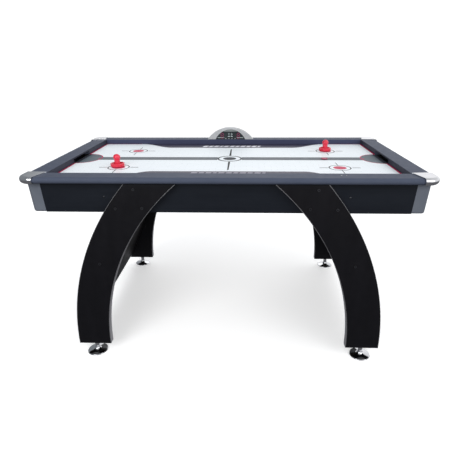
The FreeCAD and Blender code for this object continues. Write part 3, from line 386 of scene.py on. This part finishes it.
def add_piece(name, points, faces, surface, smooth=False):
    """A mesh that is fixed to the table."""
    mesh = bpy.data.meshes.new(name)
    mesh.from_pydata(points, [], faces)
    mesh.materials.append(SURFACES[surface].material)
    for face in mesh.polygons:
        face.use_smooth = smooth
    piece = bpy.data.objects.new(name, mesh)
    bpy.context.scene.collection.objects.link(piece)
    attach(piece, "table")


def around(x, y, radius, turn):
    """A point on a circle, at a share of a full turn."""
    angle = 2 * math.pi * turn
    return (x + radius * math.cos(angle), y + radius * math.sin(angle))


# ---------------------------------------------------------------- print on the field

# What lies over what, lowest first.
BASE, FIGURE, DETAIL, SLOT_SHADE, HOLES = range(5)
PRINT_LIFT = 0.00006
LAYER_STEP = 0.00004


class Sheet:
    """Flat shapes on one layer of print, which become one piece."""

    def __init__(self, layer):
        self.points = []
        self.faces = []
        self.height = FIELD_TOP + PRINT_LIFT + layer * LAYER_STEP

    def polygon(self, outline):
        start = len(self.points)
        self.points += [(x, y, self.height) for x, y in outline]
        self.faces.append(tuple(range(start, start + len(outline))))

    def bar(self, x_ends, y_ends, slant=0.0):
        """A rectangle between two values of x and of y, or leaning by the slant."""
        x0, x1 = sorted(x_ends)
        y0, y1 = sorted(y_ends)
        self.polygon([(x0, y0), (x1, y0), (x1 + slant, y1), (x0 + slant, y1)])

    def disc(self, x, y, radius, steps=64):
        self.polygon([around(x, y, radius, step / steps) for step in range(steps)])

    def ring(self, x, y, inner, outer, steps=96):
        for step in range(steps):
            here, there = step / steps, (step + 1) / steps
            self.polygon([around(x, y, inner, here), around(x, y, outer, here),
                          around(x, y, outer, there), around(x, y, inner, there)])

    def band(self, first, second):
        """Quads between two curves with the same number of points."""
        for index in range(len(first) - 1):
            self.polygon([first[index], first[index + 1], second[index + 1], second[index]])

    def make(self, name, surface):
        add_piece(name, self.points, self.faces, surface)


WAVE_DEPTH = {"front": 0.118, "back": 0.098}
WAVE_FLAT, WAVE_END = 0.305, 0.475
WAVE_LINE = 0.0025
DASH_INK = {"front": "ink_pale", "back": "ink_white"}
DASH_Y = {"front": (0.253, 0.290), "back": (0.277, 0.308)}
DASH_WIDTHS = [0.024, 0.020, 0.022, 0.014, 0.024, 0.022, 0.018, 0.024, 0.020, 0.024, 0.012]
DASH_START, DASH_ROW = -0.154, 0.295   # left end and length of the row
DASH_SLANT = 0.012


def wave_curve(side, grow, steps=24):
    """Edge of the dark wave along a long side: flat in the middle, eased to the rail."""
    curve = []
    for step in range(-steps, steps + 1):
        share = abs(step) / steps
        x = math.copysign(WAVE_FLAT + (WAVE_END + 2 * grow - WAVE_FLAT) * share, step)
        depth = (WAVE_DEPTH[side] + grow) * (0.5 + 0.5 * math.cos(math.pi * share))
        curve.append((x, SIDES[side] * (FIELD_Y - depth)))
    return curve


def print_waves():
    """The dark wave along each long side, with its line and its dashes."""
    for side, sign in SIDES.items():
        edge = wave_curve(side, 0)
        fill = Sheet(BASE)
        fill.polygon([(-WAVE_END, sign * FIELD_Y)] + edge + [(WAVE_END, sign * FIELD_Y)])
        fill.make(f"print_wave_{side}", "ink_navy")
        line = Sheet(FIGURE)
        line.band(edge, wave_curve(side, WAVE_LINE))
        line.make(f"print_wave_line_{side}", "ink_plum")
        print_dashes(side, sign)


def print_dashes(side, sign):
    """A row of plain slanted dashes in each wave."""
    dashes = Sheet(FIGURE)
    gap = (DASH_ROW - sum(DASH_WIDTHS)) / (len(DASH_WIDTHS) - 1)
    x = DASH_START
    for width in DASH_WIDTHS:
        dashes.bar((x, x + width), [sign * y for y in DASH_Y[side]], slant=DASH_SLANT)
        x += width + gap
    dashes.make(f"print_dashes_{side}", DASH_INK[side])


CREASE_DEPTH, CREASE_HALF = 0.086, 0.092
CREASE_FULLNESS = 0.9                  # the power of the cosine: 1 gives a plain ellipse
CREASE_LINE = 0.0045
NOTCH_X = FIELD_X + 0.003              # where the goal notch of the board starts
MOUTH_HALF = 0.0925
SLOT_SHADE_DEPTH = 0.015
GOAL_LINE, GOAL_LINE_GAP = 0.007, 0.004
SIDE_LINE, SIDE_LINE_GAP = 0.005, 0.010
ARROW_LENGTH, ARROW_WAIST, ARROW_HALF = 0.020, 0.012, 0.011    # waist: depth of its notch


def crease_curve(sign, grow, steps=40):
    """The front half of a goal crease, from one side of the goal to the other."""
    curve = []
    for step in range(steps + 1):
        angle = math.pi * (step / steps - 0.5)
        reach = max(math.cos(angle), 0.0) ** CREASE_FULLNESS
        x = sign * (FIELD_X - (CREASE_DEPTH + grow) * reach)
        curve.append((x, (CREASE_HALF + grow) * math.sin(angle)))
    return curve


def print_creases():
    """For each goal: the grey crease, a dark band of painted shade at its mouth over the goal
    slot, and the red lines.
    """
    for end, sign in ENDS.items():
        inner = crease_curve(sign, 0)
        fill = Sheet(FIGURE)
        fill.polygon(inner + [(sign * FIELD_X, MOUTH_HALF), (sign * NOTCH_X, MOUTH_HALF),
                              (sign * NOTCH_X, -MOUTH_HALF), (sign * FIELD_X, -MOUTH_HALF)])
        fill.make(f"print_crease_{end}", "ink_crease")
        # Painted shade: a dark sheet on the field in front of the goal mouth, where the slot's
        # shadow falls.
        slot_shade = Sheet(SLOT_SHADE)
        slot_shade.bar((sign * (FIELD_X - SLOT_SHADE_DEPTH), sign * NOTCH_X), (-MOUTH_HALF, MOUTH_HALF))
        slot_shade.make(f"print_goal_slot_shade_{end}", "ink_slot_shade")
        line = Sheet(DETAIL)
        line.band(inner, crease_curve(sign, CREASE_LINE))
        add_outline(line, sign)
        add_arrow(line, sign)
        line.make(f"print_crease_line_{end}", "ink_crimson")


def add_outline(line, sign):
    """The goal line on both sides of the crease, and the short lines along the long rails."""
    for side in SIDES.values():
        line.bar((sign * (FIELD_X - GOAL_LINE), sign * FIELD_X),
                 (side * (CREASE_HALF + GOAL_LINE_GAP), side * FIELD_Y))
        line.bar((sign * (WAVE_END + SIDE_LINE_GAP), sign * (FIELD_X - GOAL_LINE)),
                 (side * (FIELD_Y - SIDE_LINE), side * FIELD_Y))


def add_arrow(line, sign):
    """An arrow head at the tip of the crease."""
    tip = FIELD_X - CREASE_DEPTH - CREASE_LINE
    back = sign * (tip + ARROW_LENGTH)
    line.polygon([(back, -ARROW_HALF), (sign * tip, 0), (back, ARROW_HALF),
                  (sign * (tip + ARROW_WAIST), 0)])


STRIPE_HALF, STRIPE_START = 0.030, 0.0560
STRIPE_OVERLAP = 0.004                 # under the tip of the crease
CENTRE_RING = (0.0480, 0.0575)
CENTRE_SPOT = 0.0295
TICK_ENDS = (0.063, 0.214)
TICK_HALF_WIDTHS = (0.0045, 0.0028)    # at those two ends


def print_centre():
    """The stripe between the goals, the ring round its middle, and the ticks across it."""
    stripe = Sheet(BASE)
    reach = FIELD_X - CREASE_DEPTH + STRIPE_OVERLAP
    for sign in ENDS.values():
        stripe.bar((sign * STRIPE_START, sign * reach), (-STRIPE_HALF, STRIPE_HALF))
    stripe.make("print_stripe", "ink_slate")
    ring = Sheet(FIGURE)
    ring.ring(0, 0, *CENTRE_RING)
    ring.disc(0, 0, CENTRE_SPOT)
    ring.make("print_centre_ring", "ink_ring")
    ticks = Sheet(FIGURE)
    near, far = TICK_ENDS
    wide, narrow = TICK_HALF_WIDTHS
    for side in SIDES.values():
        ticks.polygon([(-wide, side * near), (wide, side * near),
                       (narrow, side * far), (-narrow, side * far)])
    ticks.make("print_centre_ticks", "dark_ink_and_hole_shade")


FACEOFF_X, FACEOFF_Y = 0.4605, 0.171
FACEOFF_RING = (0.0415, 0.0460)
FACEOFF_SPOT = 0.0270
ARM_X, ARM_Y = (0.050, 0.084), (0.036, 0.092)    # from the middle of the ring
ARM_WIDE, ARM_NARROW = 0.003, 0.0015             # half widths, along X and along Y


def print_faceoffs():
    """Four rings, each with a red spot and four arms."""
    for side, across in SIDES.items():
        for end, along in ENDS.items():
            x, y = along * FACEOFF_X, across * FACEOFF_Y
            ring = Sheet(FIGURE)
            ring.ring(x, y, *FACEOFF_RING)
            for sign in (-1, 1):
                ring.bar([x + sign * reach for reach in ARM_X], (y - ARM_WIDE, y + ARM_WIDE))
                ring.bar((x - ARM_NARROW, x + ARM_NARROW), [y + sign * reach for reach in ARM_Y])
            ring.make(f"print_faceoff_{side}_{end}", "dark_ink_and_hole_shade")
            spot = Sheet(DETAIL)
            spot.disc(x, y, FACEOFF_SPOT)
            spot.make(f"print_spot_{side}_{end}", "ink_red")


HOLE_PITCH = 0.0254
HOLE_RADIUS = 0.0007


def print_air_holes():
    """A square grid of air holes over the whole field, drawn as flat dark discs of painted shade.
    """
    holes = Sheet(HOLES)
    count_x, count_y = int(FIELD_X / HOLE_PITCH), int(FIELD_Y / HOLE_PITCH)
    for i in range(-count_x, count_x + 1):
        for j in range(-count_y, count_y + 1):
            holes.disc(i * HOLE_PITCH, j * HOLE_PITCH, HOLE_RADIUS, steps=8)
    holes.make("air_hole_shade", "dark_ink_and_hole_shade")


# ---------------------------------------------------------------- scorer display

DISPLAY_Y = WINDOW_LOW.y - 0.0003
# Each segment of a figure: its side, its level, and whether it stands upright.
SEGMENTS = {
    "top": (0, 1, False), "middle": (0, 0, False), "bottom": (0, -1, False),
    "upper_left": (-1, 1, True), "upper_right": (1, 1, True),
    "lower_left": (-1, -1, True), "lower_right": (1, -1, True),
}
UNLIT = {"0": ["middle"], "8": []}
BAR_SHARE = 0.2                        # width of a segment in a figure's width
FLAT_GAP, UPRIGHT_GAP = 2.2, 1.2       # free length of a segment, in segment widths
LABEL_MARGIN = 0.0012
LABEL_STEPS = 24
# Places across the window are from its middle, and heights are above the rail.
SCORE_X = {"left": -0.0440, "right": 0.0420}
SCORE_UP, SCORE_WIDTH, SCORE_HEIGHT = 0.0185, 0.0160, 0.030
TIMER = {"tens": ("0", -0.0080), "units": ("8", 0.0070)}
TIMER_UP, TIMER_WIDTH, TIMER_HEIGHT = 0.0265, 0.0065, 0.0105
TIMER_LINE_UP, TIMER_LINE_WIDTH, TIMER_LINE_HEIGHT = 0.0150, 0.0105, 0.0030
SCORE_LINE_X, SCORE_LINE_UP = 0.0510, 0.0085
SCORE_LINE_WIDTH, SCORE_LINE_HEIGHT = 0.036, 0.0018
LABEL_UP, LABEL_HALF = 0.0405, 0.036


def upright_quad(x, z, half_x, half_z):
    """Corners of a rectangle that stands just in front of the scorer window."""
    return [(x - half_x, DISPLAY_Y, z - half_z), (x + half_x, DISPLAY_Y, z - half_z),
            (x + half_x, DISPLAY_Y, z + half_z), (x - half_x, DISPLAY_Y, z + half_z)]


def show_digit(name, figure, x, z, width, height, surface):
    """A seven-segment figure."""
    bar = width * BAR_SHARE
    points, faces = [], []
    for key, (across, up, upright) in SEGMENTS.items():
        if key in UNLIT[figure]:
            continue
        level = up * (height - bar) / (4 if upright else 2)
        half_flat = (width - FLAT_GAP * bar) / 2
        half_tall = ((height - bar) / 2 - UPRIGHT_GAP * bar) / 2
        half_x, half_z = (bar / 2, half_tall) if upright else (half_flat, bar / 2)
        start = len(points)
        points += upright_quad(x + across * (width - bar) / 2, z + level, half_x, half_z)
        faces.append(tuple(range(start, start + 4)))
    add_piece(name, points, faces, surface)


def show_bar(name, x, z, width, height, surface):
    """A plain lit bar."""
    add_piece(name, upright_quad(x, z, width / 2, height / 2), [(0, 1, 2, 3)], surface)


def show_label(name, centre, low, half, surface):
    """A band at the top of the window, under the same arc as the frame."""
    high = WINDOW_HIGH.z - RAIL_TOP
    wide = (WINDOW_HIGH.x - WINDOW_LOW.x) / 2
    radius = (wide ** 2 + high ** 2) / (2 * high) - LABEL_MARGIN
    arc_z = WINDOW_HIGH.z - radius - LABEL_MARGIN
    arc = []
    for step in range(LABEL_STEPS + 1):
        dx = half * (2 * step / LABEL_STEPS - 1)
        arc.append((centre + dx, DISPLAY_Y, arc_z + math.sqrt(radius ** 2 - dx ** 2)))
    corners = [(centre + half, DISPLAY_Y, low), (centre - half, DISPLAY_Y, low)]
    points = list(reversed(corners + arc))
    add_piece(name, points, [tuple(range(len(points)))], surface)


def make_display():
    """Two scores, the timer between them, their lines, and a glowing grey band above, which is
    painted light.
    """
    middle = (WINDOW_LOW.x + WINDOW_HIGH.x) / 2
    for side, shift in SCORE_X.items():
        show_digit(f"score_{side}", "8", middle + shift, RAIL_TOP + SCORE_UP,
                   SCORE_WIDTH, SCORE_HEIGHT, "digit_red")
    for place, (figure, shift) in TIMER.items():
        show_digit(f"timer_{place}", figure, middle + shift, RAIL_TOP + TIMER_UP,
                   TIMER_WIDTH, TIMER_HEIGHT, "digit_white")
        show_bar(f"timer_{place}_line", middle + shift, RAIL_TOP + TIMER_LINE_UP,
                 TIMER_LINE_WIDTH, TIMER_LINE_HEIGHT, "digit_white")
    for side, sign in ENDS.items():
        show_bar(f"score_line_{side}", middle + sign * SCORE_LINE_X, RAIL_TOP + SCORE_LINE_UP,
                 SCORE_LINE_WIDTH, SCORE_LINE_HEIGHT, "digit_white")
    show_label("score_band_painted_light", middle, RAIL_TOP + LABEL_UP, LABEL_HALF, "painted_light_band")


# ---------------------------------------------------------------- small fittings

BOLT_SPOTS = [(0.334, 0.727), (0.407, 0.653), (0.308, 0.655), (0.495, 0.424)]    # x, z
SOCKET_RADIUS = 0.0026
SOCKET_LIFT = 0.0001
SCREW_X, SCREW_Z = 0.4555, 0.690
SCREW_RADIUS, SCREW_HEIGHT = 0.0040, 0.0018
# Section of a screw cap, as shares of its radius and of its height.
CAP_PROFILE = [(1.0, 0.0), (1.0, 0.35), (0.86, 0.75), (0.5, 0.97)]
CAP_STEPS = 24


def add_bolt_socket_shade():
    """Painted shade of the hex recess in each leg bolt head: a flat dark hexagon, with no recess
    cut.
    """
    for side, across in SIDES.items():
        points, faces = [], []
        for along in ENDS.values():
            for x, z in BOLT_SPOTS:
                start = len(points)
                for corner in range(6):
                    socket_x, socket_z = around(along * x, z, SOCKET_RADIUS, corner / 6)
                    points.append((socket_x, across * (BOLT_FACE + SOCKET_LIFT), socket_z))
                order = range(start, start + 6)
                faces.append(tuple(order if across < 0 else reversed(order)))
        add_piece(f"bolt_socket_shade_{side}", points, faces, "dark_ink_and_hole_shade")


def screw_cap(name, centre, axis):
    """A low domed cap that stands on a face."""
    turn = Vector((0, 0, 1)).rotation_difference(Vector(axis)).to_matrix().to_4x4()
    stand = Matrix.Translation(Vector(centre)) @ turn
    points, faces = [], []
    for share, lift in CAP_PROFILE:
        for step in range(CAP_STEPS):
            x, y = around(0, 0, SCREW_RADIUS * share, step / CAP_STEPS)
            points.append(stand @ Vector((x, y, SCREW_HEIGHT * lift)))
    top = (len(CAP_PROFILE) - 1) * CAP_STEPS
    for low in range(0, top, CAP_STEPS):
        for step in range(CAP_STEPS):
            here, there = low + step, low + (step + 1) % CAP_STEPS
            faces.append((here, there, there + CAP_STEPS, here + CAP_STEPS))
    faces.append(tuple(range(top, top + CAP_STEPS)))
    faces.append(tuple(reversed(range(CAP_STEPS))))
    add_piece(name, points, faces, "bolt", smooth=True)


def add_apron_screws():
    """One screw cap near each end of the long aprons."""
    for side, across in SIDES.items():
        for end, along in ENDS.items():
            screw_cap(f"apron_screw_{side}_{end}",
                      (along * SCREW_X, across * APRON_FACE, SCREW_Z), (0, across, 0))


# ---------------------------------------------------------------- stage, light and camera

FLOOR_SIZE = 300
FLOOR_DROP = 0.0005
FLOOR_GLOW = 0.42
WORLD_BELOW = (0.16, 0.16, 0.17)
WORLD_LEFT = (0.26, 0.28, 0.30)
WORLD_HORIZON = (1.10, 1.10, 1.12)
WORLD_ZENITH = (0.78, 0.79, 0.80)
BACKDROP = (1.12, 1.12, 1.12)
CAMERA_PLACE = Vector((0.0717, -1.8372, 1.1491))
CAMERA_YAW, CAMERA_PITCH, CAMERA_ROLL = -0.0396, -0.3892, 0.0069    # radians
CAMERA_LENS, CAMERA_SENSOR = 31.91, 36                              # millimetres


def make_stage():
    """A wide pale floor that meets the white background and lights nothing."""
    bpy.ops.mesh.primitive_plane_add(size=FLOOR_SIZE, location=(0, 0, -FLOOR_DROP))
    floor = bpy.context.object
    floor.name = "floor"
    surface = Surface("floor_pale")
    tone = surface.tone(surface.noise(2.0), (0.90, 0.90, 0.90), (0.92, 0.92, 0.92))
    surface.shade({"Base Color": tone, "Roughness": 0.9, "Specular IOR Level": 0.1,
                   "Emission Color": (1, 1, 1), "Emission Strength": FLOOR_GLOW})
    floor.data.materials.append(surface.material)
    floor.visible_glossy = False
    floor.visible_diffuse = False
    floor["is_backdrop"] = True


def make_world():
    """A studio that is dim on the left and below the floor, behind a white backdrop."""
    world = bpy.data.worlds.new("studio")
    bpy.context.scene.world = world
    world.use_nodes = True
    graph = Graph(world.node_tree)
    direction = graph.split(graph.add("TexCoord", {}).outputs["Generated"])
    up = graph.span(direction["Z"], 0.0, 1.0, between=(0.25, 0.80))
    above = graph.span(direction["Z"], 0.0, 1.0, between=(-0.25, -0.02))
    rightward = graph.span(direction["X"], 0.0, 1.0, between=(-0.50, -0.25))
    colour = graph.mix(up, WORLD_HORIZON, WORLD_ZENITH)
    colour = graph.mix(rightward, WORLD_LEFT, colour)
    colour = graph.mix(above, WORLD_BELOW, colour)
    seen = graph.add("LightPath", {}).outputs["Is Camera Ray"]
    background = world.node_tree.nodes["Background"]
    graph.feed(background.inputs["Color"], graph.mix(seen, colour, BACKDROP))
    graph.feed(background.inputs["Strength"], 1.0)
    bpy.context.scene.view_settings.view_transform = "Standard"


def add_light(name, location, target, size, power):
    """A round soft light that looks at the target."""
    data = bpy.data.lights.new(name, "AREA")
    data.shape = "DISK"
    data.size = size
    data.energy = power
    light = bpy.data.objects.new(name, data)
    bpy.context.scene.collection.objects.link(light)
    light.location = location
    light.rotation_mode = "QUATERNION"
    light.rotation_quaternion = (Vector(target) - Vector(location)).to_track_quat("-Z", "Y")


def make_lights():
    add_light("key", location=(-1.6, -3.2, 2.2), target=(0, 0, 0.6), size=2.2, power=60)
    add_light("fill", location=(2.6, -2.4, 1.9), target=(0, 0, 0.6), size=2.6, power=30)
    add_light("back", location=(0.3, 3.2, 3.0), target=(0, 0, 0.7), size=3.0, power=15)


def make_camera():
    """Camera from its place, yaw, pitch and roll."""
    forward = Vector((math.sin(CAMERA_YAW) * math.cos(CAMERA_PITCH),
                      math.cos(CAMERA_YAW) * math.cos(CAMERA_PITCH), math.sin(CAMERA_PITCH)))
    level = Vector((math.cos(CAMERA_YAW), -math.sin(CAMERA_YAW), 0))
    down = forward.cross(level)
    right = math.cos(CAMERA_ROLL) * level + math.sin(CAMERA_ROLL) * down
    up = math.sin(CAMERA_ROLL) * level - math.cos(CAMERA_ROLL) * down
    data = bpy.data.cameras.new("camera")
    data.lens = CAMERA_LENS
    data.sensor_width = CAMERA_SENSOR
    camera = bpy.data.objects.new("camera", data)
    bpy.context.scene.collection.objects.link(camera)
    turn = Matrix((right, up, -forward)).transposed().to_4x4()
    camera.matrix_world = Matrix.Translation(CAMERA_PLACE) @ turn
    bpy.context.scene.camera = camera


dress_frame()
print_waves()
print_centre()
print_creases()
print_faceoffs()
print_air_holes()
make_display()
add_bolt_socket_shade()
add_apron_screws()
make_stage()
make_world()
make_lights()
make_camera()
save_size("end", SIZES)
